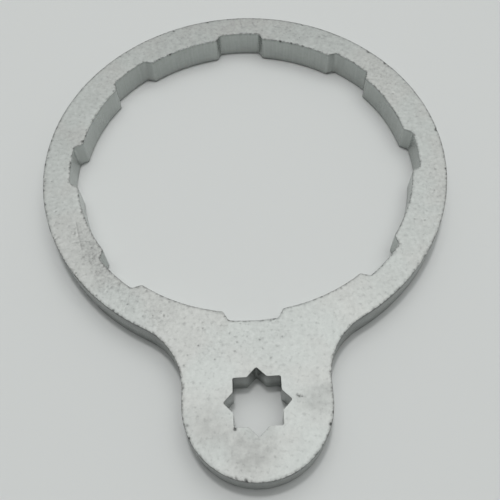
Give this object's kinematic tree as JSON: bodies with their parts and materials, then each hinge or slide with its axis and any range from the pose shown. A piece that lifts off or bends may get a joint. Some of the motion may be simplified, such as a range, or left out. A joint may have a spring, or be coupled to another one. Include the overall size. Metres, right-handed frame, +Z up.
{
  "type": "filter wrench",
  "caption": "Flat ring wrench for a round filter cap: a ring with notches round its inside and a round-ended tab with a star-shaped hole for a square driver.",
  "frame": {"origin": "centre of the ring, on the plate's lower face", "axes": "+Z up through the plate's thickness, -Y from the ring's centre to the drive hole, +X to the right seen from above with the tab towards the viewer"},
  "size_m": [0.13, 0.164, 0.01],
  "materials": {
    "zinc_steel": "dull pale grey zinc coat with a fine mottle, small pits, nicked edges and a grey smear"
  },
  "bodies": {
    "root": {"wrench_plate": "zinc_steel"}
  },
  "joints": []
}
